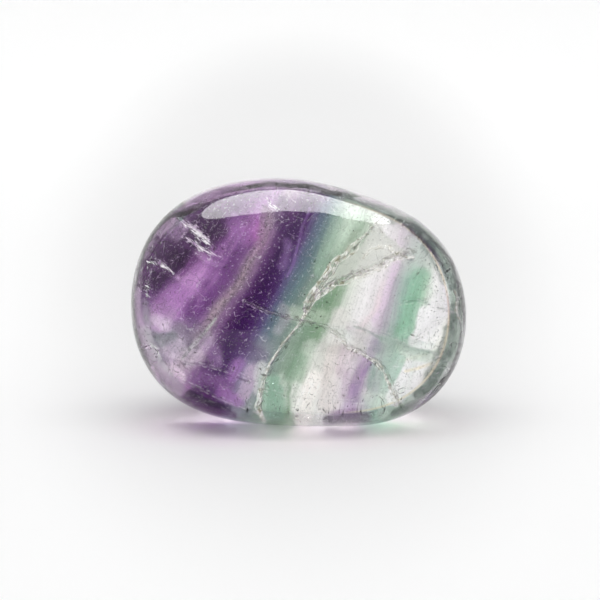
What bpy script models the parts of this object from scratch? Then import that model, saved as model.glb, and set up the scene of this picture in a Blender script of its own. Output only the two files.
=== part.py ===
"""Tumbled fluorite stone: one solid, polished pebble that stands on a small flat worn on its lower edge.

Metres, +Z up. X runs along the length, Y through the thickness. The origin is on the seat, under the middle
of the stone's bounding box.
"""

import bmesh
import bpy
import numpy as np

NAME = "fluorite_stone"
MM = 0.001

# The outline seen from the front, as a radius round the stone's middle (mm): a mean and its harmonics.
OUTLINE_MEAN = 13.15
OUTLINE_COSINES = (-0.19, 2.03, 0.09, -0.11, 0.01, -0.09)
OUTLINE_SINES = (-0.25, -0.47, -0.25, 0.02, 0.03, 0.03)

# The thickness: half of it at the middle (mm), and how boxy the section is (2 is an ellipse).
HALF_THICKNESS = 8.3
BOXINESS = 2.05

# How far the stone leans back from upright, about its length (radians).
LEAN = np.radians(15.0)

# The worn flat that the stone stands on: how far it cuts into the lower edge (mm).
SEAT_CUT = 0.6

# Shallow chips where cleavages reach the surface: direction from the middle, radius and depth (mm).
CHIPS = {
    "right_rim": ((0.98, -0.25, -0.02), 1.7, 0.22),
    "lower_left": ((-0.90, -0.35, -0.28), 1.9, 0.20),
    "upper_left": ((-0.75, -0.35, 0.55), 1.6, 0.14),
    "crest": ((-0.18, -0.30, 0.93), 1.2, 0.12),
    "lower_right": ((0.55, -0.50, -0.67), 1.5, 0.16),
    "back": ((0.25, 0.85, 0.30), 2.4, 0.18),
}

GRID_CUTS = 25

COLOUR = (0.62, 0.52, 0.68, 1.0)
ROUGHNESS = 0.04
REFRACTIVE_INDEX = 1.434


def clear_scene():
    """Removes every object that the scene starts with."""
    for obj in list(bpy.data.objects):
        bpy.data.objects.remove(obj, do_unlink=True)


def new_collection(name):
    """A collection of this name, linked to the scene."""
    collection = bpy.data.collections.new(name)
    bpy.context.scene.collection.children.link(collection)
    return collection


def outline_radius(angle):
    """Distance from the middle to the outline (mm), at an angle from +X towards +Z."""
    radius = np.full_like(angle, OUTLINE_MEAN)
    for order, (cosine, sine) in enumerate(zip(OUTLINE_COSINES, OUTLINE_SINES), start=1):
        radius += cosine * np.cos(order * angle) + sine * np.sin(order * angle)
    return radius


def stone_points(directions):
    """Points of the polished surface (mm) along unit vectors from the stone's middle."""
    x, y, z = directions.T
    across = np.hypot(x, z) / outline_radius(np.arctan2(z, x))
    through = np.abs(y) / HALF_THICKNESS
    reach = (across**BOXINESS + through**BOXINESS) ** (-1.0 / BOXINESS)
    points = directions * reach[:, None]
    for towards, radius, depth in CHIPS.values():
        points = chipped(points, np.array(towards), radius, depth)
    return leaned(points)


def leaned(points):
    """The points turned about X, so that the top goes back."""
    x, y, z = points.T
    back = y * np.cos(LEAN) + z * np.sin(LEAN)
    up = z * np.cos(LEAN) - y * np.sin(LEAN)
    return np.stack([x, back, up], axis=-1)


def chipped(points, towards, radius, depth):
    """The points pressed in towards the middle round the place that lies in one direction."""
    lengths = np.linalg.norm(points, axis=1)
    cosines = points @ (towards / np.linalg.norm(towards)) / lengths
    away = lengths * np.sqrt(np.maximum(2.0 - 2.0 * cosines, 0.0))
    dent = depth * np.exp(-((away / radius) ** 2))
    return points * (1.0 - dent / lengths)[:, None]


def grid_cube():
    """A cube from -1 to 1 whose faces are even grids."""
    mesh = bmesh.new()
    bmesh.ops.create_cube(mesh, size=2.0)
    bmesh.ops.subdivide_edges(mesh, edges=mesh.edges[:], cuts=GRID_CUTS, use_grid_fill=True)
    return mesh


def even_directions(corners):
    """Unit vectors from points of the cube, spread so that the cells come out much alike."""
    spread = np.tan(corners * (np.pi / 4.0))
    return spread / np.linalg.norm(spread, axis=1, keepdims=True)


def cut_seat(mesh, height):
    """Takes off what is below a height, and closes the opening with one flat face."""
    everything = mesh.verts[:] + mesh.edges[:] + mesh.faces[:]
    cut = bmesh.ops.bisect_plane(
        mesh,
        geom=everything,
        dist=1e-7,
        plane_co=(0.0, 0.0, height),
        plane_no=(0.0, 0.0, 1.0),
        clear_inner=True,
    )
    rim = [item for item in cut["geom_cut"] if isinstance(item, bmesh.types.BMEdge)]
    seat = bmesh.ops.edgeloop_fill(mesh, edges=rim)["faces"]
    bmesh.ops.recalc_face_normals(mesh, faces=mesh.faces[:])
    return seat


def stone_mesh():
    """The stone's mesh in metres, with its seat at the height of the origin."""
    grid = grid_cube()
    corners = np.array([vert.co[:] for vert in grid.verts])
    points = stone_points(even_directions(corners))
    low, high = points.min(axis=0), points.max(axis=0)
    seat_height = low[2] + SEAT_CUT
    middle = (low + high) / 2.0
    points = (points - (middle[0], middle[1], seat_height)) * MM
    for vert, point in zip(grid.verts, points):
        vert.co = point
    seat = cut_seat(grid, 0.0)
    for face in grid.faces:
        face.smooth = face not in seat
    mesh = bpy.data.meshes.new(NAME)
    grid.to_mesh(mesh)
    grid.free()
    return mesh


def fluorite():
    """Polished, see-through fluorite."""
    material = bpy.data.materials.new("fluorite")
    material.use_nodes = True
    shader = material.node_tree.nodes["Principled BSDF"]
    shader.inputs["Base Color"].default_value = COLOUR
    shader.inputs["Roughness"].default_value = ROUGHNESS
    shader.inputs["IOR"].default_value = REFRACTIVE_INDEX
    shader.inputs["Transmission Weight"].default_value = 1.0
    return material


def build_stone(collection):
    """The pebble, in one piece."""
    mesh = stone_mesh()
    mesh.materials.append(fluorite())
    stone = bpy.data.objects.new(NAME, mesh)
    collection.objects.link(stone)
    return stone


def main():
    clear_scene()
    collection = new_collection("fluorite_specimen")
    build_stone(collection)


main()
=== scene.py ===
# %% [markdown]
# # A tumbled fluorite stone
#
# The object is one polished pebble of banded fluorite: purple at one end, then teal, green and clear, with
# fractures inside that flash like small mirrors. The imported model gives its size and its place. This lesson
# makes the fine surface, the see-through colour bands, the fractures, and a small photo studio round them.

import bpy
import numpy as np
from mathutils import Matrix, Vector


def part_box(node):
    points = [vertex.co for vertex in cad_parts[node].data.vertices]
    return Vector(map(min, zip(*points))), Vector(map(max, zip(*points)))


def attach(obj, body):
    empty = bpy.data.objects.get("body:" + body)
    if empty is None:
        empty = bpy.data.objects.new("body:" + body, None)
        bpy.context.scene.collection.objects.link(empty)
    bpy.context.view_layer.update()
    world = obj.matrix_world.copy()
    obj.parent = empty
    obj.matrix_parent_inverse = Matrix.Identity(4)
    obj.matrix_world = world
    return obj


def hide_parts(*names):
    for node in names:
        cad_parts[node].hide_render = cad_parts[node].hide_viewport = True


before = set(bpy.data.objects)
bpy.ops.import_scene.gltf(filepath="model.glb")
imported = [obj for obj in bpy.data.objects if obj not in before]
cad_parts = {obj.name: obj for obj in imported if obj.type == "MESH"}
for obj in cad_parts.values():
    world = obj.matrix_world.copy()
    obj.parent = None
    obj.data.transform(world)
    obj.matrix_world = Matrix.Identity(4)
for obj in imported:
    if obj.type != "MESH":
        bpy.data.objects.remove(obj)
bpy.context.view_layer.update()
MM = 0.001
low_corner, high_corner = (np.array(corner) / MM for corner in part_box("fluorite_stone"))
print("stone from", low_corner.round(2), "to", high_corner.round(2), "mm")

# %% [markdown]
# ## The camera
#
# A product shot of a small stone is taken with a long lens, so that its sides don't bulge. The camera looks
# down a little, and it aims a hair above the stone's middle. A scale of about eleven pixels to the millimetre
# on a 600 pixel picture fixes the distance for a given lens.

# %% Camera
VIEW_ELEVATION = np.radians(13.0)
LENS_MM = 200.0
SENSOR_MM = 36.0
PICTURE_PIXELS = 600
PIXELS_PER_MM = 11.17
AIM_MM = (0.13, 0.0, 10.68)
CLIP_START = 0.01


def place_camera():
    """A camera whose distance is lens / sensor x picture width / scale, back along the line of sight."""
    distance = LENS_MM / SENSOR_MM * PICTURE_PIXELS / PIXELS_PER_MM
    back = Vector((0.0, -np.cos(VIEW_ELEVATION), np.sin(VIEW_ELEVATION)))
    data = bpy.data.cameras.new("camera")
    data.lens = LENS_MM
    data.sensor_width = SENSOR_MM
    data.clip_start = CLIP_START
    camera = bpy.data.objects.new("camera", data)
    camera.location = (Vector(AIM_MM) + back * distance) * MM
    camera.rotation_euler = back.to_track_quat("Z", "Y").to_euler()
    bpy.context.scene.collection.objects.link(camera)
    bpy.context.scene.camera = camera
    print("camera", round(distance), "mm away")


place_camera()

# %% [markdown]
# ## The pebble's form
#
# Tumbling wears a stone to a rounded form that is still its own. One formula gives it: an outline whose
# radius changes slowly with the angle, and a section that is close to an ellipse through the thickness. It
# could be sculpted by hand, but a formula can be read at any point, which the fractures inside need later
# on.

# %% The form as a formula
OUTLINE_MEAN = 13.15
OUTLINE_COSINES = (-0.19, 2.03, 0.09, -0.11, 0.01, -0.09)
OUTLINE_SINES = (-0.25, -0.47, -0.25, 0.02, 0.03, 0.03)
HALF_THICKNESS = 8.3
BOXINESS = 2.05
SEAT_CUT = 0.6
LEAN = np.radians(15.0)
CHIPS = {
    "right_rim": ((0.98, -0.25, -0.02), 1.7, 0.22),
    "lower_left": ((-0.90, -0.35, -0.28), 1.9, 0.20),
    "lower_right": ((0.55, -0.50, -0.67), 1.5, 0.16),
    "back": ((0.25, 0.85, 0.30), 2.4, 0.18),
}


def outline_radius(angle):
    """A mean radius, plus a cosine and a sine of each of the first six multiples of the angle."""
    radius = np.full_like(angle, OUTLINE_MEAN)
    for order, (cosine, sine) in enumerate(zip(OUTLINE_COSINES, OUTLINE_SINES), start=1):
        radius += cosine * np.cos(order * angle) + sine * np.sin(order * angle)
    return radius


def pressed_in(points, towards, radius, depth):
    """Points moved towards the middle by depth x exp(-(distance from the dent's centre / radius) squared)."""
    lengths = np.linalg.norm(points, axis=1)
    cosines = points @ (towards / np.linalg.norm(towards)) / lengths
    away = lengths * np.sqrt(np.maximum(2.0 - 2.0 * cosines, 0.0))
    dent = depth * np.exp(-((away / radius) ** 2))
    return points * (1.0 - dent / lengths)[:, None]


def pebble(directions):
    """Along each unit vector, the point where (across / outline)^p + (through / half thickness)^p is 1."""
    x, y, z = directions.T
    across = np.hypot(x, z) / outline_radius(np.arctan2(z, x))
    through = np.abs(y) / HALF_THICKNESS
    reach = (across**BOXINESS + through**BOXINESS) ** (-1.0 / BOXINESS)
    points = directions * reach[:, None]
    for towards, radius, depth in CHIPS.values():
        points = pressed_in(points, np.array(towards), radius, depth)
    return points


def leaned(points):
    """Points turned about the length, so that the top goes back by the angle of lean."""
    x, y, z = np.moveaxis(points, -1, 0)
    back = y * np.cos(LEAN) + z * np.sin(LEAN)
    up = z * np.cos(LEAN) - y * np.sin(LEAN)
    return np.stack([x, back, up], axis=-1)


# %% [markdown]
# ## The fine mesh
#
# A sphere made from rings crowds its points at two poles. A cube blown up to a ball has cells that are all
# much the same size, which is what a polished surface needs: each of six square grids is a face of the
# cube, and the points that the faces share along their edges are welded.

# %% A ball of even cells
GRID = 126
WELD = 1e-6


def even_ball(cells):
    """Six grids of tangents of even angles, one on each face of a cube, scaled to unit length and welded."""
    steps = np.tan(np.linspace(-1.0, 1.0, cells + 1) * np.pi / 4.0)
    u, v = np.meshgrid(steps, steps, indexing="ij")
    one = np.ones_like(u)
    sides = [(one, u, v), (-one, v, u), (v, one, u), (u, -one, v), (u, v, one), (v, u, -one)]
    corners = np.concatenate([np.stack(side, axis=-1).reshape(-1, 3) for side in sides])
    keys = np.round(corners / WELD).astype(np.int64)
    _, first, place = np.unique(keys, axis=0, return_index=True, return_inverse=True)
    place = place.reshape(-1)
    row, column = np.meshgrid(np.arange(cells), np.arange(cells), indexing="ij")
    corner = (row * (cells + 1) + column).reshape(-1)
    square = np.stack([corner, corner + cells + 1, corner + cells + 2, corner + 1], axis=-1)
    quads = np.concatenate([place[square + side * (cells + 1) ** 2] for side in range(6)])
    ball = corners[first]
    return ball / np.linalg.norm(ball, axis=1, keepdims=True), quads


def new_piece(name, points, faces, smooth=True):
    """A mesh object at the origin from arrays of points in mm and of faces."""
    mesh = bpy.data.meshes.new(name)
    mesh.from_pydata((points * MM).tolist(), [], faces.tolist())
    mesh.polygons.foreach_set("use_smooth", np.full(len(faces), smooth))
    mesh.update()
    piece = bpy.data.objects.new(name, mesh)
    bpy.context.scene.collection.objects.link(piece)
    return piece


ball, ball_quads = even_ball(GRID)
upright_points = pebble(ball)
low, high = leaned(upright_points).min(axis=0), leaned(upright_points).max(axis=0)
MIDDLE = np.array([-(low[0] + high[0]) / 2.0, -(low[1] + high[1]) / 2.0, -low[2] - SEAT_CUT])
print("pebble", (high - low).round(2), "mm, its middle", MIDDLE[2].round(2), "mm above the seat")


def stood(points):
    """Points in the pebble's own upright frame, leaned back and set on the seat."""
    return leaned(points) + MIDDLE


# %% [markdown]
# ## Pits
#
# Polish never reaches the bottom of the smallest chips. A few dozen of them, each a fraction of a millimetre
# wide, are pressed into the fine mesh, so that they catch the light from any side.

# %% Small pits
PIT_COUNT = 60
PIT_RADII = (0.16, 0.42)
PIT_DEPTH = 0.11
AIR_GAP = 0.03
pit_random = np.random.default_rng(11)


def with_pits(points, count):
    """Points pressed in at random places, each dent as deep as a ninth of its own radius."""
    places = pit_random.normal(size=(count, 3))
    radii = pit_random.uniform(*PIT_RADII, count)
    for place, radius in zip(places, radii):
        points = pressed_in(points, place, radius, PIT_DEPTH * radius)
    return points


stone_points = stood(with_pits(upright_points, PIT_COUNT))
stone_points[:, 2] = np.maximum(stone_points[:, 2], AIR_GAP)
stone = new_piece("fluorite_crystal", stone_points, ball_quads)
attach(stone, "root")
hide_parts("fluorite_stone")
print(len(ball_quads) * 2, "triangles")

# %% [markdown]
# ## Shader arithmetic
#
# A pattern on a see-through stone is a lot of small sums. Written with node calls they are unreadable, so one
# small class wraps a node's output and lets Python's own operators add the Math nodes.

# %% Fields and finishes


class Field:
    """A number, colour or vector that varies over a surface: one output of a node."""

    def __init__(self, finish, socket):
        self.finish = finish
        self.socket = socket

    def _math(self, operation, *values):
        """A Math node of one operation on this value and others."""
        sockets = dict(enumerate(values))
        return self.finish.add("ShaderNodeMath", {"operation": operation}, sockets)

    def __add__(self, other):
        return self._math("ADD", self, other)

    def __radd__(self, other):
        return self._math("ADD", other, self)

    def __sub__(self, other):
        return self._math("SUBTRACT", self, other)

    def __rsub__(self, other):
        return self._math("SUBTRACT", other, self)

    def __mul__(self, other):
        return self._math("MULTIPLY", self, other)

    def __rmul__(self, other):
        return self._math("MULTIPLY", other, self)

    def __truediv__(self, other):
        return self._math("DIVIDE", self, other)

    def __rtruediv__(self, other):
        return self._math("DIVIDE", other, self)

    def __abs__(self):
        return self._math("ABSOLUTE", self)

    def at_least(self, other):
        """The larger of two values."""
        return self._math("MAXIMUM", self, other)

    def at_most(self, other):
        """The smaller of two values."""
        return self._math("MINIMUM", self, other)

    def rise(self, start, end):
        """0 below start and 1 above end, with a smooth climb between them."""
        settings = {"interpolation_type": "SMOOTHSTEP"}
        sockets = {"Value": self, "From Min": start, "From Max": end}
        return self.finish.add("ShaderNodeMapRange", settings, sockets)

    def fall(self, start, end):
        """1 below start and 0 above end, with a smooth drop between them."""
        return 1.0 - self.rise(start, end)

    def bump_at(self, centre, width):
        """1 at the centre, falling smoothly to 0 a width away on either side."""
        return abs(self - centre).fall(0.0, width)

    def share(self):
        """The same value, held between 0 and 1."""
        return self.at_least(0.0).at_most(1.0)


class Finish:
    """A material, or the world, and its nodes."""

    def __init__(self, owner, shader="Principled BSDF", output="Material Output"):
        owner.use_nodes = True
        self.owner = owner
        self.tree = owner.node_tree
        self.shader = self.tree.nodes[shader]
        self.output = self.tree.nodes[output]

    def add(self, kind, settings=None, sockets=None, out=0):
        """A node: its settings first, then the values or links of its sockets. Gives one or more outputs."""
        node = self.tree.nodes.new(kind)
        for key, value in (settings or {}).items():
            if key == "stops":
                self.fill_ramp(node.color_ramp, value)
            else:
                setattr(node, key, value)
        for key, value in (sockets or {}).items():
            self.set(node.inputs[key], value)
        if isinstance(out, tuple):
            return [Field(self, node.outputs[one]) for one in out]
        return Field(self, node.outputs[out])

    def set(self, socket, value):
        """Links a field to a socket, or sets a plain value on it."""
        if isinstance(value, Field):
            self.tree.links.new(value.socket, socket)
        else:
            socket.default_value = value

    def fill_ramp(self, ramp, stops):
        """Gives a colour ramp its stops, each a place from 0 to 1 and a colour."""
        for _ in range(len(stops) - len(ramp.elements)):
            ramp.elements.new(1.0)
        for element, (place, colour) in zip(ramp.elements, stops):
            element.position = place
            element.color = (*colour, 1.0)

    def place(self):
        """The point being shaded, in millimetres, as three fields."""
        point = self.add("ShaderNodeTexCoord", out="Object")
        scaled = self.add("ShaderNodeVectorMath", {"operation": "SCALE"}, {0: point, "Scale": 1.0 / MM})
        return self.add("ShaderNodeSeparateXYZ", None, {0: scaled}, (0, 1, 2))

    def vector(self, x, y, z):
        """Three numbers as one vector or colour."""
        return self.add("ShaderNodeCombineXYZ", None, {0: x, 1: y, 2: z})

    def cloud(self, x, y, z, detail=2.0, roughness=0.5):
        """Noise at a place, mostly between 0.3 and 0.7, whose middle value is a half."""
        sockets = {"Vector": self.vector(x, y, z), "Scale": 1.0, "Detail": detail, "Roughness": roughness}
        return self.add("ShaderNodeTexNoise", None, sockets)

    def attribute(self, name):
        """A number that is kept on the mesh."""
        return self.add("ShaderNodeAttribute", {"attribute_name": name}, out="Fac")

    def painted(self, name):
        """A colour that is kept on the mesh, and how much of it there is."""
        return self.add("ShaderNodeAttribute", {"attribute_name": name}, None, ("Color", "Alpha"))

    def darkened(self, colour, value):
        """A colour times a number."""
        return self.mix(1.0, colour, self.grey(value), "MULTIPLY")

    def grey(self, value):
        """The same number in all three channels."""
        return self.vector(value, value, value)

    def vectors(self, operation, *values):
        """Arithmetic on whole colours or vectors."""
        return self.add("ShaderNodeVectorMath", {"operation": operation}, dict(enumerate(values)))

    def dot(self, first, second):
        """The sum of the products of two vectors' parts."""
        return self.add("ShaderNodeVectorMath", {"operation": "DOT_PRODUCT"}, {0: first, 1: second}, "Value")

    def length(self, vector):
        """The root of the sum of the squares of a vector's parts."""
        return self.add("ShaderNodeVectorMath", {"operation": "LENGTH"}, {0: vector}, "Value")

    def mix(self, factor, first, second, blend="MIX"):
        """Mixes two colours."""
        settings = {"data_type": "RGBA", "blend_type": blend}
        sockets = {"Factor": factor, 6: first, 7: second}
        return self.add("ShaderNodeMix", settings, sockets, out=2)

    def ramp(self, value, start, end, stops):
        """A colour that depends on a value, through stops given in the value's own units."""
        share = (value - start) / (end - start)
        spread = [((place - start) / (end - start), colour) for place, colour in stops]
        return self.add("ShaderNodeValToRGB", {"stops": spread}, {0: share})


def screen(red, green, blue):
    """A colour as a screen shows it, from 0 to 255, turned to the linear values that light has."""
    values = np.array([red, green, blue]) / 255.0
    linear = np.where(values > 0.04045, ((values + 0.055) / 1.055) ** 2.4, values / 12.92)
    return tuple(float(value) for value in linear)


def rgba(colour):
    """A colour with a fourth value of 1, as sockets take it."""
    return (*colour, 1.0)


# %% [markdown]
# ## Where a point of the surface is seen
#
# The near surface shows its own point, but the far side is seen through the near one, which bends the light
# inwards and makes the far side look larger. A pattern that has to agree on both sides is therefore drawn
# in the coordinates of the picture. They are smooth, so they are kept on the mesh as attributes, together
# with the distance to each fracture; the finish then draws crisp edges from these smooth numbers.

# %% Picture coordinates as attributes
VIEW_TILT = float(VIEW_ELEVATION - LEAN)
FAR_WIDTH = (0.893, -0.733)
FAR_HEIGHT = (1.149, -0.628)
FAR_DROP = -0.21


def seen_place(points):
    """Across x(1 + a f + b f^2), up z(1 + c f + d f^2) + e f, where f is how far back a point is, 0 to 1."""
    x, y, z = points.T
    far = np.clip(y / HALF_THICKNESS, 0.0, 1.0)
    across = x * (1.0 + FAR_WIDTH[0] * far + FAR_WIDTH[1] * far**2)
    up = z * (1.0 + FAR_HEIGHT[0] * far + FAR_HEIGHT[1] * far**2) + FAR_DROP * far
    return across, up + np.minimum(y, 0.0) * np.sin(VIEW_TILT)


def rim_share(points):
    """How far out a point is: 0 on the axis through the thickness, 1 on the outline."""
    x, _, z = points.T
    return np.hypot(x, z) / outline_radius(np.arctan2(z, x))


def distance_to(line, across, up, widths=0.0):
    """Least distance from each place to the segments of a line, less a half width that varies along it."""
    line = np.array(line, dtype=float)
    widths = np.broadcast_to(np.asarray(widths, dtype=float), len(line))
    place = np.stack([across, up], axis=-1)
    least = np.full(len(place), np.inf)
    for start, end, first, last in zip(line[:-1], line[1:], widths[:-1], widths[1:]):
        along = end - start
        share = np.clip((place - start) @ along / (along @ along), 0.0, 1.0)
        gap = np.linalg.norm(place - start - share[:, None] * along, axis=1)
        least = np.minimum(least, gap - first - (last - first) * share)
    return least


def inside_of(corners, across, up):
    """Distance to a polygon's edge, negative inside, where a ray crosses the edge an odd number of times."""
    corners = np.array(corners + corners[:1], dtype=float)
    odd = np.zeros(len(across), dtype=bool)
    for (x1, z1), (x2, z2) in zip(corners[:-1], corners[1:]):
        spans = (z1 > up) != (z2 > up)
        odd ^= spans & (across < x1 + (up - z1) * (x2 - x1) / (z2 - z1 + 1e-12))
    return np.where(odd, -1.0, 1.0) * distance_to(corners, across, up)


def keep(piece, name, values):
    """Stores one number for each corner of a mesh."""
    piece.data.attributes.new(name, "FLOAT", "POINT").data.foreach_set("value", values.astype(np.float32))


# %% The fractures as they are seen, in mm from the stone's middle
LEFT_BRANCH = [(6.9, 7.2), (6.1, 6.4), (5.4, 5.6), (4.8, 4.9), (4.0, 4.1), (3.2, 3.7), (2.8, 3.0), (2.0, 1.8),
               (1.3, 1.0), (0.7, 0.0), (0.5, -0.9)]
LEFT_WIDTHS = [0.05, 0.06, 0.12, 0.42, 0.28, 0.34, 0.40, 0.36, 0.38, 0.32, 0.16]
RIGHT_BRANCH = [(10.0, 4.1), (9.2, 4.0), (8.2, 3.8), (7.4, 3.3), (6.0, 2.7), (4.6, 2.2), (4.0, 1.8),
                (3.2, 1.8), (2.6, 1.3), (1.8, 0.7), (1.2, 0.2), (0.5, -0.9)]
RIGHT_WIDTHS = [0.16, 0.16, 0.10, 0.26, 0.34, 0.28, 0.24, 0.28, 0.28, 0.24, 0.20, 0.16]
INNER_CHAIN = [(5.6, 3.9), (6.1, 4.6), (6.6, 4.9), (7.2, 5.0), (7.9, 4.9), (8.5, 4.4), (9.2, 4.1)]
STEM = [(0.5, -0.9), (0.1, -1.7), (-0.5, -2.4), (-1.4, -3.5), (-2.6, -5.3), (-3.1, -6.7), (-3.4, -7.8),
        (-3.7, -9.1), (-3.1, -10.5)]
CROSSING = [(-4.8, 0.2), (-2.6, -0.9), (-0.3, -1.5), (1.9, -2.0), (3.3, -2.9), (4.2, -3.8), (5.5, -4.4),
            (6.9, -5.3), (7.5, -6.2), (8.1, -7.6), (8.6, -8.9)]
GLINTS = CROSSING[4:9]
RIBBONS = [
    (LEFT_BRANCH, LEFT_WIDTHS),
    (RIGHT_BRANCH, RIGHT_WIDTHS),
    (INNER_CHAIN, [0.05, 0.14, 0.18, 0.16, 0.20, 0.18, 0.12]),
    (STEM, [0.16, 0.10, 0.08, 0.09, 0.10, 0.14, 0.22, 0.26, 0.16]),
    (GLINTS, [0.05, 0.16, 0.12, 0.20, 0.10]),
    (CROSSING[8:], [0.10, 0.16, 0.24]),
    ([(13.6, 1.4), (14.1, 0.4), (13.9, -0.6), (14.4, -2.0)], [0.03, 0.14, 0.12, 0.03]),
]
FEATHERS = [
    ([(-10.8, 7.6), (-9.9, 7.0), (-9.2, 6.6), (-8.7, 6.0), (-8.1, 5.6), (-7.9, 5.2)],
     [0.04, 0.18, 0.30, 0.34, 0.28, 0.10]),
    ([(-10.3, 5.9), (-9.5, 5.5), (-8.9, 5.0), (-8.3, 4.6), (-7.7, 4.3), (-6.9, 4.1)],
     [0.04, 0.14, 0.20, 0.16, 0.10, 0.03]),
    ([(-13.6, 3.7), (-12.8, 3.6), (-12.3, 3.6), (-11.8, 3.2), (-11.1, 2.7)], [0.03, 0.14, 0.26, 0.16, 0.04]),
    ([(-13.4, 1.9), (-13.4, 1.2), (-13.4, 0.6)], [0.03, 0.10, 0.04]),
    ([(-13.2, -3.5), (-12.6, -4.1), (-12.2, -5.0)], [0.05, 0.16, 0.04]),
    ([(-2.9, 9.2), (-2.4, 8.6), (-1.9, 8.2)], [0.08, 0.16, 0.04]),
]
HAIR_CRACKS = [
    CROSSING[:6],
    [(0.6, -1.5), (3.0, -2.0), (5.1, -2.3), (7.3, -2.6), (9.8, -3.5), (11.8, -4.4), (12.3, -4.8)],
    [(12.3, -4.9), (10.9, -5.5), (9.5, -5.8), (8.0, -5.6)],
    [(-10.1, -5.1), (-7.5, -5.6), (-5.2, -6.2), (-3.7, -6.9)],
    [(-10.6, -6.7), (-8.6, -7.6), (-6.6, -8.5), (-3.6, -9.6)],
    [(8.9, 0.0), (10.4, 0.2), (12.7, -0.6), (13.6, -0.9)],
    [(-3.4, -7.4), (-1.0, -8.2), (2.6, -8.5), (5.6, -8.7)],
]
VEIL = [(6.9, 6.9), (9.6, 4.5), (8.0, 3.7), (4.8, 2.4), (3.2, 2.0), (1.6, 0.8), (2.2, 1.9), (3.4, 3.4),
        (5.2, 5.0), (6.2, 6.3)]
FIN = [(0.6, -1.5), (3.0, -2.0), (5.1, -2.3), (7.3, -2.6), (9.8, -3.5), (12.3, -4.9), (10.9, -5.5),
       (9.5, -5.8), (8.0, -5.6), (6.9, -5.3), (5.5, -4.4), (4.2, -3.8), (3.3, -2.9), (1.9, -2.0)]
LOW_PATCH = [(-3.6, -7.6), (-3.0, -6.2), (-1.9, -5.9), (-1.3, -7.2), (-1.1, -9.0), (-1.2, -10.6),
             (-3.2, -10.6)]

across, up = seen_place(upright_points)
keep(stone, "across", across)
keep(stone, "up", up)
keep(stone, "rim", rim_share(upright_points))
for name, lines in (("ribbon", RIBBONS), ("feather", FEATHERS)):
    keep(stone, name, np.min([distance_to(line, across, up, widths) for line, widths in lines], axis=0))
keep(stone, "crack", np.min([distance_to(line, across, up) for line in HAIR_CRACKS], axis=0))
for name, corners in (("veil", VEIL), ("fin", FIN), ("low_patch", LOW_PATCH)):
    keep(stone, name, inside_of(corners, across, up))
print("picture places", across.min().round(1), "to", across.max().round(1), "mm across")

# %% [markdown]
# ## The colour bands
#
# Fluorite grows in layers, and each layer keeps the colour of the water it grew from. In this stone the
# layers fan out from the lower left. A see-through colour is what is left of the light behind it, so each
# colour below is written as it is seen, and one formula turns it into the share of light that gets through.

# %% Colours of the layers
PAPER_SEEN = 0.885
FRESNEL_SHARE = 0.937
GLARE = 0.011
FAN_SLOPE = 0.45
FAN_OPENING = -0.022


def tint(red, green, blue):
    """(seen - glare) / (paper x what two surfaces let through), for a colour as a screen shows it."""
    seen = np.array(screen(red, green, blue))
    return tuple(float(value) for value in np.clip((seen - GLARE) / (PAPER_SEEN * FRESNEL_SHARE), 0.002, 1.0))


LAYERS = [
    (-16.0, tint(95, 62, 102)),
    (-13.0, tint(112, 74, 122)),
    (-11.6, tint(176, 132, 184)),
    (-10.4, tint(156, 116, 168)),
    (-9.4, tint(132, 90, 146)),
    (-8.0, tint(124, 84, 138)),
    (-7.3, tint(146, 118, 150)),
    (-6.7, tint(150, 128, 150)),
    (-6.1, tint(126, 96, 132)),
    (-5.1, tint(80, 48, 94)),
    (-4.2, tint(54, 26, 72)),
    (-3.2, tint(66, 38, 86)),
    (-2.5, tint(84, 66, 110)),
    (-1.8, tint(92, 100, 122)),
    (-1.0, tint(100, 122, 124)),
    (0.0, tint(116, 134, 128)),
    (1.0, tint(132, 152, 136)),
    (1.8, tint(114, 142, 118)),
    (2.8, tint(122, 150, 122)),
    (3.5, tint(168, 184, 166)),
    (4.4, tint(220, 222, 216)),
    (5.4, tint(232, 230, 230)),
    (6.6, tint(224, 219, 221)),
    (7.3, tint(216, 205, 214)),
    (7.9, tint(184, 170, 186)),
    (8.5, tint(170, 178, 178)),
    (9.4, tint(150, 182, 166)),
    (10.4, tint(148, 188, 164)),
    (11.1, tint(186, 206, 188)),
    (11.7, tint(240, 240, 234)),
    (13.4, tint(232, 232, 224)),
    (15.5, tint(196, 206, 196)),
]
WING = [
    (-17.0, tint(98, 70, 104)),
    (-12.0, tint(76, 46, 86)),
    (-9.6, tint(78, 46, 92)),
    (-8.6, tint(140, 92, 152)),
    (-7.4, tint(182, 134, 192)),
    (-6.4, tint(150, 102, 164)),
    (-4.8, tint(118, 78, 134)),
    (-3.0, tint(140, 104, 150)),
    (0.0, tint(178, 160, 184)),
]
# Rim tints, paler where the crystal thins, and painted light and shade for what the rim shows beyond where
# total reflection begins
RIM_LEFT = tint(186, 146, 194)
RIM_RIGHT = tint(158, 190, 164)
RIM_FAR = tint(206, 204, 206)
MAGENTA = tint(172, 98, 170)
MINT = tint(208, 226, 208)
CLOUDY_LILAC = tint(200, 188, 202)
GREY_LILAC = tint(176, 164, 180)
FADED_GREEN = tint(204, 204, 202)


def fan_place(across, up):
    """How far along the fan of layers a place is: (across - slope x up) / (1 + opening x up)."""
    return (across - FAN_SLOPE * up) / (1.0 + FAN_OPENING * up)
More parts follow.
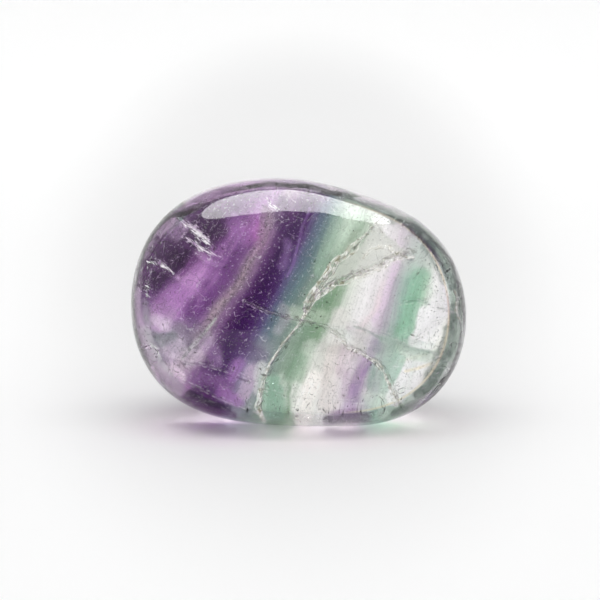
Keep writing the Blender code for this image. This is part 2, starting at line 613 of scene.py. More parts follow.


# %% [markdown]
# ## Colour strokes
#
# No layer is even: growth stopped and started, and each time it left wisps of colour. A painter would set
# them over the bands as soft strokes. Each stroke here is a line of corners in mm, a half width, the width
# of its soft edge, a tint and a strength, and every stroke is blended over the ones before it. One stroke,
# under the bright band at the top, is painted shade.

# %% Strokes over the layers: corners, half width, softness, tint, strength
SEAM = [(-2.8, 8.2), (-3.3, 5.6), (-5.2, 1.9), (-7.3, -0.6), (-9.3, -3.9), (-10.4, -5.3)]
STROKES = [
    # the purple end, and the seam
    ([(-13.8, 2.6), (-11.4, 3.9), (-9.4, 5.1), (-7.8, 6.7)], 1.15, 0.9, tint(48, 22, 56), 0.92),
    ([(-13.0, -1.2), (-11.8, -0.8)], 0.5, 0.8, tint(168, 138, 174), 0.75),
    ([(-12.2, -0.3), (-11.1, 0.6), (-9.7, 1.7)], 0.5, 0.8, tint(158, 112, 168), 0.70),
    ([(-9.9, 2.2), (-9.3, 2.5), (-8.7, 2.8)], 0.4, 0.7, tint(188, 144, 194), 0.75),
    ([(-8.2, 1.8), (-7.2, 3.4)], 0.35, 0.6, tint(104, 62, 118), 0.8),
    ([(-4.9, 5.4), (-6.4, 2.8), (-7.8, 0.6), (-9.6, -0.6)], 0.5, 0.9, tint(92, 54, 106), 0.80),
    ([(-6.0, 7.4), (-4.9, 5.9), (-4.2, 7.8)], 0.3, 0.9, tint(150, 104, 162), 0.5),
    (SEAM, 0.24, 0.42, tint(138, 120, 134), 0.75),
    ([(-3.6, 4.9), (-5.7, 1.3), (-7.9, -1.2)], 0.04, 0.20, tint(190, 168, 174), 0.35),
    ([(-12.6, -1.6), (-11.4, -2.0), (-10.6, -2.2)], 0.2, 0.7, tint(210, 194, 212), 0.75),
    ([(-10.8, -1.9), (-9.8, -3.0), (-9.2, -4.0)], 0.24, 0.5, tint(96, 82, 108), 0.75),
    ([(-13.9, -3.0), (-12.4, -3.3), (-11.2, -2.9)], 0.30, 0.6, tint(96, 104, 108), 0.9),
    ([(-10.0, -4.7), (-9.5, -4.9), (-8.9, -4.6)], 0.35, 0.6, tint(196, 180, 196), 0.70),
    ([(-11.6, -5.9), (-10.7, -6.5)], 0.40, 0.5, tint(226, 204, 224), 0.95),
    # the low end of the purple bands
    ([(-9.4, -6.5), (-8.0, -6.8), (-6.2, -7.1)], 0.30, 0.6, tint(118, 78, 132), 0.7),
    ([(-9.2, -8.0), (-8.5, -8.4), (-7.5, -9.0)], 0.40, 0.5, tint(58, 24, 70), 0.95),
    ([(-8.4, -9.5), (-7.4, -9.9)], 0.30, 0.4, tint(70, 30, 84), 0.9),
    ([(-6.8, -7.8), (-6.2, -8.3), (-5.4, -8.7)], 0.30, 0.5, tint(146, 98, 160), 0.80),
    ([(-10.9, -6.9), (-10.0, -7.6)], 0.2, 0.5, tint(164, 112, 170), 0.7),
    ([(-4.1, -5.9), (-4.4, -6.9), (-5.0, -8.0)], 0.36, 0.45, tint(184, 162, 188), 0.85),
    ([(-5.0, -3.2), (-4.6, -4.0), (-3.5, -4.9)], 0.4, 0.6, tint(76, 44, 96), 0.6),
    ([(-3.3, -5.6), (-3.5, -7.6)], 0.30, 0.4, tint(206, 208, 206), 0.75),
    ([(-2.9, -7.0), (-2.4, -8.6), (-2.9, -10.0)], 0.4, 0.7, tint(140, 164, 148), 0.6),
    ([(-1.6, -6.6), (-1.4, -7.6), (-1.4, -8.6)], 0.25, 0.5, tint(190, 202, 190), 0.6),
    # the clear and lilac bands right of the middle
    ([(3.7, -1.2), (3.2, -2.8), (2.0, -4.6), (1.2, -6.4)], 0.60, 0.50, tint(212, 211, 206), 0.90),
    ([(1.2, -6.6), (0.6, -8.4), (0.3, -10.3)], 0.62, 0.45, tint(236, 232, 227), 0.95),
    ([(3.2, -4.4), (2.8, -6.8), (2.6, -9.0)], 0.5, 0.7, tint(204, 196, 192), 0.75),
    ([(5.6, -2.6), (4.6, -4.6), (3.9, -6.0)], 0.30, 0.6, tint(196, 184, 184), 0.65),
    ([(6.7, -3.6), (5.9, -5.2), (5.2, -6.6), (4.8, -7.6)], 0.36, 0.42, tint(138, 104, 154), 0.85),
    ([(4.8, -7.6), (4.2, -9.6)], 0.36, 0.5, tint(172, 148, 184), 0.7),
    ([(4.1, -4.2), (4.0, -6.4)], 0.30, 0.6, tint(186, 168, 180), 0.55),
    ([(7.7, -2.9), (6.9, -4.2)], 0.2, 0.5, tint(140, 140, 150), 0.6),
    ([(8.6, -2.6), (7.6, -5.0), (6.9, -7.4)], 0.4, 0.6, tint(140, 164, 150), 0.55),
    ([(7.7, -6.0), (7.2, -7.8)], 0.4, 0.8, tint(170, 190, 178), 0.5),
    ([(6.3, -8.4), (8.6, -8.9), (7.6, -9.8)], 0.4, 0.6, tint(206, 218, 206), 0.6),
    ([(8.7, 4.0), (7.9, 1.4), (6.6, -1.4)], 0.12, 0.30, tint(216, 196, 216), 0.7),
    ([(7.4, 1.8), (6.6, -0.6), (5.4, -2.4)], 0.08, 0.30, tint(226, 208, 214), 0.6),
    # the green band and the clear right end
    ([(10.7, 2.4), (10.2, 0.4), (9.2, -2.6)], 0.45, 0.6, tint(132, 176, 148), 0.70),
    ([(13.1, 1.2), (12.2, -1.0), (11.1, -3.0), (10.2, -5.2), (9.4, -7.0), (8.6, -8.2)], 0.78, 0.32,
     tint(250, 249, 245), 0.98),
    ([(11.0, -0.8), (10.5, -2.6), (10.1, -3.2)], 0.40, 0.30, tint(250, 249, 245), 0.97),
    ([(7.0, -5.0), (6.6, -7.2)], 0.45, 0.5, tint(140, 156, 150), 0.75),
    ([(3.2, -9.9), (4.7, -9.8)], 0.35, 0.4, tint(140, 112, 146), 0.80),
    ([(-0.1, -7.4), (-0.3, -9.2)], 0.30, 0.4, tint(232, 233, 228), 0.7),
    ([(-0.5, -0.9), (2.0, -1.2)], 0.35, 0.6, tint(184, 198, 180), 0.5),
    # painted shade: the layers under the right part of the bright band at the top are darkened, so that the
    # band does not wash out
    ([(4.6, 8.9), (6.4, 8.35), (8.3, 7.45)], 0.30, 0.25, tint(150, 160, 148), 0.75),
    # the fracture that crosses the right half
    ([(9.0, -3.9), (10.2, -4.5), (11.6, -4.8), (12.1, -4.7)], 0.36, 0.30, tint(186, 204, 186), 0.85),
    ([(4.8, -2.1), (6.0, -2.4), (7.3, -3.0), (9.1, -3.6), (11.3, -4.3), (12.2, -4.5)], 0.04, 0.18,
     tint(112, 130, 122), 0.75),
    ([(7.4, -3.1), (9.1, -3.8), (11.3, -4.5)], 0.10, 0.40, tint(120, 146, 132), 0.55),
    ([(9.4, 0.1), (10.6, 0.2), (11.7, -0.1)], 0.02, 0.10, tint(62, 100, 84), 0.8),
    ([(12.4, -0.4), (13.7, -0.9)], 0.02, 0.10, tint(66, 74, 62), 0.8),
    ([(4.3, -2.2), (5.3, -3.0), (6.2, -3.4)], 0.10, 0.40, tint(196, 178, 190), 0.5),
    ([(9.3, -5.9), (10.4, -5.8), (11.7, -5.4)], 0.05, 0.16, tint(224, 212, 178), 0.8),
    # thin growth lines and small shades
    ([(-1.6, 9.0), (-1.4, 6.6)], 0.35, 0.6, tint(60, 32, 78), 0.75),
    ([(-4.2, 8.4), (-4.6, 7.0)], 0.2, 0.6, tint(118, 78, 128), 0.6),
    ([(-1.0, 5.3), (-1.5, 3.4)], 0.15, 0.45, tint(132, 104, 152), 0.55),
    ([(-10.3, -5.3), (-8.2, -5.2), (-6.2, -6.0), (-4.4, -7.0)], 0.03, 0.16, tint(62, 36, 76), 0.75),
    ([(-8.2, -3.5), (-7.4, -4.2), (-7.2, -5.2)], 0.3, 0.5, tint(150, 118, 162), 0.6),
    ([(1.1, -3.9), (0.3, -5.4), (-0.3, -6.8)], 0.35, 0.6, tint(206, 216, 204), 0.6),
    ([(-7.4, -1.3), (-8.9, -3.4), (-10.4, -4.9)], 0.06, 0.14, tint(190, 198, 190), 0.65),
    ([(-7.1, -1.6), (-8.6, -3.7), (-10.3, -5.3)], 0.02, 0.14, tint(92, 84, 100), 0.5),
    ([(9.0, 4.15), (9.7, 3.95)], 0.12, 0.18, tint(74, 84, 92), 0.8),
    ([(-1.5, -0.4), (-1.3, -1.5), (-1.8, -2.4)], 0.20, 0.5, tint(168, 162, 172), 0.5),
    ([(0.8, 8.4), (0.0, 5.4), (-1.0, 2.4)], 0.05, 0.14, tint(132, 104, 156), 0.8),
    ([(1.9, 8.6), (1.2, 6.0), (0.2, 3.4)], 0.25, 0.45, tint(84, 100, 114), 0.6),
    ([(3.4, 7.8), (2.6, 5.4), (1.7, 3.0)], 0.25, 0.60, tint(150, 178, 156), 0.5),
    ([(5.4, -4.6), (4.8, -6.4)], 0.30, 0.6, tint(158, 142, 160), 0.60),
    ([(4.3, -6.4), (3.9, -8.0)], 0.25, 0.5, tint(168, 144, 168), 0.55),
    ([(4.9, 6.0), (4.0, 3.6)], 0.25, 0.6, tint(142, 156, 138), 0.55),
    ([(-10.9, 6.2), (-10.2, 6.9)], 0.20, 0.7, tint(178, 146, 186), 0.60),
    ([(-9.4, 3.3), (-8.6, 4.1)], 0.25, 0.7, tint(176, 122, 184), 0.50),
    ([(-11.4, -3.6), (-10.2, -4.2)], 0.30, 0.6, tint(136, 128, 144), 0.50),
    ([(-9.6, -1.7), (-8.8, -2.6)], 0.30, 0.6, tint(100, 84, 110), 0.50),
    ([(-5.2, -5.3), (-5.8, -6.3)], 0.25, 0.6, tint(162, 112, 178), 0.60),
    ([(0.1, -4.9), (-0.8, -6.4)], 0.25, 0.6, tint(114, 146, 120), 0.60),
    ([(5.3, -7.2), (4.9, -8.4)], 0.25, 0.5, tint(134, 116, 146), 0.60),
]


def bent(across, up):
    """Places moved by slow waves, up to about a tenth of a millimetre, so that no stroke runs straight."""
    aside = 0.09 * np.sin(1.3 * up + 0.7 * across) + 0.05 * np.sin(3.1 * up - 1.9 * across)
    return across + aside, up + 0.08 * np.sin(1.7 * across - 0.9 * up)


# %% Painted shade and light on the rim: share of the outline, first and last degree, half width, softness, tint, strength
PAINTED_RIM_STROKES = [
    (0.920, -38.0, -2.0, 0.33, 0.18, tint(74, 90, 80), 0.92),
    (0.900, -32.0, -10.0, 0.34, 0.20, tint(66, 82, 72), 0.92),
    (0.870, -30.0, -11.0, 0.16, 0.24, tint(100, 114, 104), 0.85),
    (0.972, -42.0, -22.0, 0.22, 0.20, tint(236, 240, 238), 0.80),
    (0.960, -50.0, -41.0, 0.26, 0.20, tint(84, 98, 92), 0.90),
    (0.965, -40.0, 20.0, 0.10, 0.30, tint(150, 160, 156), 0.50),
    (0.872, 8.0, 24.0, 0.12, 0.25, tint(104, 124, 112), 0.65),
    (0.925, 6.0, 34.0, 0.32, 0.26, tint(58, 72, 68), 0.97),
    (0.940, 36.0, 56.0, 0.16, 0.22, tint(104, 112, 104), 0.70),
    (0.975, 40.0, 74.0, 0.20, 0.30, tint(236, 244, 232), 0.92),
    (0.929, 69.0, 126.0, 0.19, 0.16, tint(22, 8, 28), 0.99),
    (0.915, 126.0, 140.0, 0.22, 0.26, tint(96, 70, 102), 0.70),
    (0.935, 122.0, 143.0, 0.34, 0.24, tint(82, 58, 88), 0.85),
    (0.950, 145.0, 157.0, 0.20, 0.25, tint(82, 56, 90), 0.70),
    (0.940, 158.0, 173.0, 0.50, 0.24, tint(46, 24, 52), 0.97),
    (0.893, 181.0, 206.0, 0.22, 0.30, tint(112, 102, 122), 0.60),
    (0.930, 191.0, 216.0, 0.30, 0.50, tint(190, 172, 194), 0.70),
    (0.925, 221.0, 236.0, 0.42, 0.24, tint(50, 8, 64), 0.97),
    (0.960, 220.0, 240.0, 0.22, 0.20, tint(74, 34, 86), 0.85),
    (0.935, 284.0, 300.0, 0.30, 0.30, tint(104, 96, 112), 0.75),
]


def round_the_rim(share, first, last):
    """A line of corners at a share of the outline's radius, between two angles in degrees."""
    angle = np.radians(np.linspace(first, last, 9))
    radius = share * outline_radius(angle)
    return np.stack([radius * np.cos(angle), radius * np.sin(angle)], axis=-1)


PAINTED_RIM_LINES = [(round_the_rim(share, first, last), *rest) for share, first, last, *rest in PAINTED_RIM_STROKES]


def keep_strokes(piece, name, strokes, across, up):
    """Blends each stroke over those before it: coverage is strength x a smooth fall past its half width."""
    across, up = bent(across, up)
    colour = np.zeros((len(across), 4))
    for line, half_width, softness, stroke_tint, strength in strokes:
        fall = np.clip(1.0 - distance_to(line, across, up, half_width) / softness, 0.0, 1.0)
        cover = strength * fall * fall * (3.0 - 2.0 * fall)
        whole = colour[:, 3] + cover - colour[:, 3] * cover
        share = cover / np.maximum(whole, 1e-9)
        colour[:, :3] += (np.array(stroke_tint) - colour[:, :3]) * share[:, None]
        colour[:, 3] = whole
    piece.data.attributes.new(name, "FLOAT_COLOR", "POINT").data.foreach_set(
        "color", colour.astype(np.float32).reshape(-1))


keep(stone, "seam", distance_to(SEAM, across, up))
keep_strokes(stone, "stroke_tint", STROKES, across, up)
# painted shade and light along the rim
keep_strokes(stone, "rim_tint", PAINTED_RIM_LINES, upright_points[:, 0], upright_points[:, 2])


# %% The banding as a finish
LAYER_ENDS = (-16.0, 16.0)
WING_ENDS = (-18.0, 2.0)
WING_SLANT = (0.686, -0.728)
GLOW_PLACE = (-3.9, 6.3)


def layered(finish, across, up, through):
    """The layer a point lies in, wavered by noise stretched along the layers, and the four noises."""
    cloud = finish.cloud(across * 0.16, through * 0.03, up * 0.16, 3.0)
    patches = finish.cloud(across * 0.5, through * 0.05, up * 0.5 + 40.0, 3.0)
    layer = fan_place(across, up) + (cloud - 0.5) * 1.2
    grain = finish.cloud(layer * 1.4, through * 0.05, up * 0.10, 4.0, 0.6)
    fine = finish.cloud(layer * 5.5, through * 0.1, up * 0.22, 3.0, 0.65)
    layer = layer + (grain - 0.5) * 1.3 + (fine - 0.5) * 0.5 + (patches - 0.5) * 0.7
    return layer, cloud, patches, grain, fine


def winged(finish, colour, across, up, layer, cloud, patches):
    """The purple end, whose bands lie across the others: a ramp along their own slant."""
    slant = across * WING_SLANT[0] + up * WING_SLANT[1] + (cloud - 0.5) * 2.5 + (patches - 0.5) * 1.8
    return finish.mix(layer.fall(-9.0, -7.4), colour, finish.ramp(slant, *WING_ENDS, WING))


def patched(finish, colour, across, up, layer, drift):
    """Five soft patches: lilac low on the left and in the middle, magenta, mint and faded green higher up."""
    low_left = (up + drift).fall(-3.4, -1.2) * (layer + drift).fall(-7.4, -5.8)
    low_left = low_left * (up + drift + across * 0.3).rise(-9.6, -8.0)
    colour = finish.mix(low_left * 0.75, colour, rgba(CLOUDY_LILAC))
    low_middle = (up + drift).fall(-4.0, -2.5) * layer.bump_at(-1.3, 1.8)
    colour = finish.mix(low_middle * 0.35, colour, rgba(GREY_LILAC))
    from_glow = finish.vector((across - GLOW_PLACE[0]) * 0.7, (up - GLOW_PLACE[1]) * 0.45, drift * 0.25)
    colour = finish.mix(finish.length(from_glow).fall(0.3, 1.1) * 0.7, colour, rgba(MAGENTA))
    mint = (up + drift).rise(3.0, 6.5) * layer.bump_at(1.6, 2.4)
    colour = finish.mix(mint * 0.7, colour, rgba(MINT))
    high_right = (up + drift).rise(1.8, 4.2) * layer.rise(7.0, 8.0)
    return finish.mix(high_right * 0.65, colour, rgba(FADED_GREEN))


def banded_colour(finish, across, up, through):
    """The tint of the crystal: layers, wing, patches, then the strokes, and grains where the seam runs."""
    layer, cloud, patches, grain, fine = layered(finish, across, up, through)
    colour = finish.ramp(layer, *LAYER_ENDS, LAYERS)
    colour = winged(finish, colour, across, up, layer, cloud, patches)
    colour = patched(finish, colour, across, up, layer, (patches - 0.5) * 3.0)
    stroke_tint, cover = finish.painted("stroke_tint")
    broken = 0.88 + (grain - 0.5) * 1.2 + (patches - 0.5) * 1.0
    colour = finish.mix((cover * broken).share(), colour, stroke_tint)
    speckle = finish.cloud(across * 4.0, through * 0.2, up * 4.0, 3.0, 0.7)
    at_seam = finish.attribute("seam").fall(0.15, 0.75)
    colour = finish.darkened(colour, 1.0 - (0.52 - speckle).at_least(0.0).at_most(0.16) * at_seam * 3.4)
    cleavage = finish.cloud((up + across * 0.45) * 4.5, through * 0.1, layer * 0.25 + 9.0)
    return finish.darkened(colour, 0.99 + (fine - 0.5) * 0.54 + (cleavage - 0.5) * 0.16)


# %% [markdown]
# ## Marks of tumbling
#
# Under a lens the polish is full of short hairline scratches and grains of dust-like pits. Thin lines appear
# where a noise crosses its middle value, and a second noise cuts them into short dashes. Strokes of one more
# kind lie round the scattered points of a cell pattern, each along its own direction. Both show dark in the
# pale layers and pale in the dark ones.

# %% Hairlines and strokes


def hairlines(finish, x, y, z, scale, width, seed):
    """1 on thin broken lines: where noise is within a width of a half, kept where a second noise is high."""
    first = finish.cloud(x * scale + seed, y * scale, z * scale, 1.0)
    finer = scale * 1.9
    second = finish.cloud(x * finer, y * finer + seed, z * finer, 0.0)
    return abs(first - 0.5).fall(width * 0.4, width) * second.rise(0.54, 0.60)


def strokes(finish, x, y, z, scale, length, width, seed):
    """1 near a cell's point: |offset across the cell's direction| < width and |offset along it| < length."""
    place = finish.vector(x + seed, y, z)
    sockets = {"Vector": place, "Scale": scale}
    centre, colour = finish.add("ShaderNodeTexVoronoi", {"feature": "F1"}, sockets, ("Position", "Color"))
    offset = finish.vectors("SUBTRACT", place, centre)
    turned = finish.vectors("SUBTRACT", colour, finish.vector(0.5, 0.5, 0.5))
    towards = finish.vectors("NORMALIZE", turned)
    along = finish.dot(offset, towards)
    sideways = finish.length(finish.vectors("CROSS_PRODUCT", offset, towards))
    return sideways.fall(width * 0.5, width) * abs(along).fall(length * 0.7, length)


def facets(finish, across, up, scale):
    """Random number, and closeness to an edge, for the cells of a fracture seen from the front."""
    bend = finish.cloud(across * 1.1, up * 1.1, 3.0)
    place = finish.vector(across + bend * 0.7, (up - across * 0.6) * 0.8 + bend * 0.5, 0.0)
    sockets = {"Vector": place, "Scale": scale}
    colour = finish.add("ShaderNodeTexVoronoi", {"feature": "F1"}, sockets, "Color")
    edge = finish.add("ShaderNodeTexVoronoi", {"feature": "DISTANCE_TO_EDGE"}, sockets)
    number = finish.add("ShaderNodeSeparateColor", None, {0: colour})
    return number, edge.fall(0.02, 0.09)


# %% [markdown]
# ## The finish of the stone
#
# The finish is built up in the order in which a painter would glaze it: the bands, the pale sheets of the
# fractures, the dark rim, which the crystal's own reflections make and painted shade deepens, the scratches,
# and at last the facets, plumes and hairs of the fractures, whose bright and dark facets, white plumes and
# pale glints are painted reflection. Only the half towards the viewer carries the crisp marks, so that none
# of them is seen twice through the crystal.

# %% Colours of the rim, the marks and the fractures
# facet colours of the cracks: painted reflection, cream where a facet catches light and olive where it
# mirrors dim surroundings
OLIVE_DARK = tint(92, 88, 66)
OLIVE_MARGIN = tint(118, 108, 82)
FACET_EDGE = tint(168, 156, 124)
CREAM = tint(246, 242, 232)
VEIL_GREY = tint(198, 200, 193)
FIN_GREY = tint(176, 188, 180)
LOW_GREEN = tint(128, 164, 142)
# painted light on the rim: a line where total reflection begins, and a pale outer edge
PAINTED_RIM_LIGHT_LINE = tint(214, 204, 168)
PAINTED_RIM_EDGE = tint(246, 240, 246)
MARK_GREY = tint(92, 92, 86)
HAIR_GREY = tint(96, 88, 100)
FROST = (0.9, 0.85, 0.95)
# white of the plumes: painted reflection of feathery fractures, in front and behind
PLUME = (1.0, 0.97, 1.0)
PLUME_BEHIND = (1.0, 0.96, 1.0)
HAIR_GLINT = (0.95, 0.92, 0.96)
RIM_START = 0.884
REFRACTIVE_INDEX = 1.434
ABSORBED = (0.86, 0.87, 0.88)
ABSORPTION_DENSITY = 6.0
BUMP_DISTANCE = 0.0004
DRAWN = ("across", "up", "rim", "ribbon", "feather", "crack", "veil", "fin", "low_patch")

# %% Sheets behind the cracks, and the rim


def veiled(finish, colour, seen, ragged):
    """Pale grey inside the veil and the fin, and green in the low patch, each with a ragged edge."""
    colour = finish.mix((seen["veil"] + ragged * 0.5).fall(-0.25, 0.05) * 0.75, colour, rgba(VEIL_GREY))
    colour = finish.mix((seen["fin"] + ragged * 0.3).fall(-0.2, 0.05) * 0.35, colour, rgba(FIN_GREY))
    return finish.mix((seen["low_patch"] + ragged).fall(-0.5, 0.1) * 0.8, colour, rgba(LOW_GREEN))


def rimmed(finish, colour, seen, near, front):
    """The rim, partly painted light and shade: tints lilac at one end and green at the other, painted shade
    and light along it, a cream line of painted light and a painted pale edge.
    """
    across, up, rim = seen["across"], seen["up"], seen["rim"]
    blotches = finish.cloud(across * 0.7, up * 0.7, 11.0, 4.0, 0.65)
    # the rim zone: tints paler where the crystal thins, with painted light and shade for what the rim shows
    rim_colour = finish.mix(across.rise(-8.0, 10.0), rgba(RIM_LEFT), rgba(RIM_RIGHT))
    rim_colour = finish.darkened(rim_colour, (0.45 + blotches * 1.1).at_most(1.0))
    rim_colour = finish.mix(front, rgba(RIM_FAR), rim_colour)
    low = up.fall(-8.0, -5.5) * across.fall(8.0, 11.0) * front
    start = RIM_START + across.fall(-13.5, -10.0) * (1.0 - low) * 0.04
    colour = finish.mix((rim - start).rise(0.0, 0.02) * (0.88 - low * 0.80), colour, rim_colour)
    # painted shade and light along the rim
    rim_tint, cover = finish.painted("rim_tint")
    broken = 0.9 + (blotches - 0.5) * 1.7
    colour = finish.mix((cover * broken * near).share(), colour, rim_tint)
    # a painted line of light where total reflection begins
    line = (rim - start).bump_at(0.0, 0.012) * near * across.rise(3.0, 7.0)
    colour = finish.mix(line * 0.8, colour, rgba(PAINTED_RIM_LIGHT_LINE))
    # a painted pale edge along the outline
    painted_pale_edge = rim.rise(0.962, 0.99) * near * up.rise(-9.0, -6.0)
    return finish.mix(painted_pale_edge * 0.85, colour, rgba(PAINTED_RIM_EDGE)), low


# %% Marks, facets, plumes and hairs


def marked(finish, base, pale, x, y, z):
    """Dark hairlines and dashes on the pale layers, and frosty ones on the dark layers."""
    long_lines = hairlines(finish, x, y, z, 1.15, 0.011, 3.0)
    wide_lines = hairlines(finish, x, y, z, 0.7, 0.006, 17.0)
    dashes = strokes(finish, x, y, z, 2.1, 0.20, 0.055, 0.0)
    short_dashes = strokes(finish, x, y, z, 3.1, 0.10, 0.05, 7.3)
    marks = long_lines.at_least(wide_lines).at_least(dashes.at_least(short_dashes))
    base = finish.mix(marks * (0.24 + pale * 0.12), base, rgba(MARK_GREY))
    frosty = hairlines(finish, x, y, z, 0.9, 0.010, 41.0)
    frosty = frosty.at_least(strokes(finish, x, y, z, 2.4, 0.18, 0.05, 19.0))
    return finish.mix((1.0 - pale) * frosty * 0.28, base, rgba(FROST)), marks


def ribboned(finish, base, seen, ragged, near):
    """Facets inside the cracks, painted reflection: some clear, some cream where a facet catches light, some
    olive where it mirrors dim surroundings, with a margin that is cream or olive.
    """
    ribbon = seen["ribbon"]
    number, edge = facets(finish, seen["across"], seen["up"], 2.9)
    in_ribbon = (ribbon + ragged * 0.30).fall(-0.04, 0.04)
    gem = finish.mix(0.25, base, rgba(VEIL_GREY))
    gem = finish.mix(number.rise(0.60, 0.68), gem, rgba(CREAM))
    gem = finish.mix(number.rise(0.86, 0.92), gem, rgba(OLIVE_DARK))
    gem = finish.mix(edge * 0.5, gem, rgba(FACET_EDGE))
    margin_colour = finish.mix(ragged.rise(-0.10, 0.02), rgba(OLIVE_MARGIN), rgba(CREAM))
    gem = finish.mix((ribbon + ragged * 0.30).bump_at(-0.03, 0.08) * 0.85, gem, margin_colour)
    base = finish.mix(in_ribbon * near * 0.92, base, gem)
    # painted reflection of the cracks seen on the far side
    base = finish.mix(ribbon.fall(0.0, 0.25) * (1.0 - near) * 0.7, base, rgba(CREAM))
    return base, in_ribbon * near * number


def feathered(finish, base, seen, near):
    """White plumes, painted reflection of the fractures' feathery faces: noise stretched along barbs that
    stand slantwise off each quill.
    """
    across, up, feather = seen["across"], seen["up"], seen["feather"]
    quill, barb = across * 0.78 - up * 0.62, across * 0.62 + up * 0.78
    barbs = finish.cloud(quill * 1.7, barb * 10.0, 2.0, 3.0, 0.7)
    plume = (barbs - feather * 0.55).rise(0.50, 0.60) * feather.fall(0.05, 0.45)
    base = finish.mix(plume * near, base, rgba(PLUME))
    return finish.mix(feather.fall(0.0, 0.3) * (1.0 - near) * 0.8, base, rgba(PLUME_BEHIND))


def cracked(finish, base, seen, ragged, near):
    """A dark hair along each fine crack, with a painted glint beside it, each where the other is weak."""
    hair = abs(seen["crack"] + ragged * 0.12).fall(0.02, 0.08)
    base = finish.mix((hair * near * (0.16 + ragged * 2.0)).at_least(0.0), base, rgba(HAIR_GREY))
    # a painted glint beside each fine crack
    painted_glint = abs(seen["crack"] - 0.12 + ragged * 0.12).fall(0.02, 0.10)
    return finish.mix((painted_glint * near * (0.06 - ragged * 1.5)).at_least(0.0), base, rgba(HAIR_GLINT))


# %% The whole finish


def fluorite_finish():
    """Clear crystal: plain transmission with the mineral's refractive index, tinted by its layers."""
    finish = Finish(bpy.data.materials.new("banded_fluorite"))
    seen = {name: finish.attribute(name) for name in DRAWN}
    across, up = seen["across"], seen["up"]
    x, y, z = finish.place()
    through = (y - float(MIDDLE[1])) * float(np.cos(LEAN)) - (z - float(MIDDLE[2])) * float(np.sin(LEAN))
    near = through.fall(-2.0, 2.0)
    ragged = finish.cloud(across * 2.2, up * 2.2, 5.0) - 0.5
    colour = banded_colour(finish, across, up, through)
    colour = veiled(finish, colour, seen, ragged)
    colour, low = rimmed(finish, colour, seen, near, through.fall(-0.4, 1.0))
    deepened = low * seen["rim"].rise(RIM_START, RIM_START + 0.02) * 0.7
    base = finish.vectors("POWER", colour, finish.grey(1.0 - through / HALF_THICKNESS * 0.6 + deepened))
    base, marks = marked(finish, base, finish.length(colour).rise(0.45, 0.95), x, y, z)
    base, steps = ribboned(finish, base, seen, ragged, near)
    base = feathered(finish, base, seen, near)
    base = cracked(finish, base, seen, ragged, near)
    finish.set(finish.shader.inputs["Base Color"], base)
    smudge = finish.cloud(x * 0.35, y * 0.35, z * 0.35, 3.0)
    finish.set(finish.shader.inputs["Roughness"], 0.012 + smudge.rise(0.5, 0.8) * 0.03)
    finish.shader.inputs["IOR"].default_value = REFRACTIVE_INDEX
    finish.shader.inputs["Transmission Weight"].default_value = 1.0
    swell = finish.cloud(x * 0.5, y * 0.5, z * 0.5, 1.0) * 0.04
    sockets = {"Height": swell - marks * 0.03 + steps * 0.12, "Strength": 0.6, "Distance": BUMP_DISTANCE}
    finish.set(finish.shader.inputs["Normal"], finish.add("ShaderNodeBump", None, sockets))
    sockets = {"Color": rgba(ABSORBED), "Density": ABSORPTION_DENSITY}
    finish.set(finish.output.inputs["Volume"], finish.add("ShaderNodeVolumeAbsorption", None, sockets))
    return finish.owner


stone.data.materials.append(fluorite_finish())

# %% [markdown]
# ## Places read in the picture
#
# A fracture is drawn where it is seen, so a place in the picture, in mm across and up from the stone's
# middle, has to become a point in space. The near surface at that place is found by a few steps of
# correction, and a depth then goes in from there along the sight line as the crystal bends it.

# %% From a place in the picture to a point in the stone
CORRECTIONS = 30
CORRECTION_SHARE = 0.4
INSIDE_SLOPE = float(np.tan(np.arcsin(np.sin(VIEW_TILT) / REFRACTIVE_INDEX)))


def near_surface(x, z):
    """Distance in front of the stone's mid plane of its near surface, 0 outside the outline."""
    share = np.hypot(x, z) / outline_radius(np.arctan2(z, x))
    return HALF_THICKNESS * np.maximum(1.0 - share**BOXINESS, 0.0) ** (1.0 / BOXINESS)


def seen_point(across, up, depth):
    """The point a depth (mm) under the near surface that is seen at a place, from the stone's own origin."""
    across, up, depth = np.broadcast_arrays(*(np.asarray(v, dtype=float) for v in (across, up, depth)))
    height = up.copy()
    for _ in range(CORRECTIONS):
        front = near_surface(across, height)
        wanted = (up + front * np.sin(VIEW_TILT)) / np.cos(VIEW_TILT)
        height = height + CORRECTION_SHARE * (wanted - height)
    y = -near_surface(across, height) + depth
    return stood(np.stack([across, y, height - depth * INSIDE_SLOPE], axis=-1))


# %% [markdown]
# ## Fractures
#
# A fracture in a crystal is a thin gap of air. Seen from inside the crystal at a low angle it reflects
# everything, like a mirror, and its surface is stepped where the break jumped from one cleavage plane to the
# next. Each is a thin closed sheet between two lines, one near the front and one deeper, made of small flat
# facets that tilt at random, with a clear metal-like finish that is worn away in places.

# %% Fracture sheets
SHEET_THICKNESS = 0.035
SHEET_CELL = 0.28
SHEET_JAG = 0.05
DEEP_CELL = 1.6 * SHEET_CELL
sheet_random = np.random.default_rng(29)


def along(line, share):
    """Points at given shares of the way along a line of corners, by straight interpolation."""
    line = np.array(line, dtype=float)
    steps = np.concatenate([[0.0], np.cumsum(np.linalg.norm(np.diff(line, axis=0), axis=1))])
    return np.stack([np.interp(share * steps[-1], steps, column) for column in line.T], axis=-1)


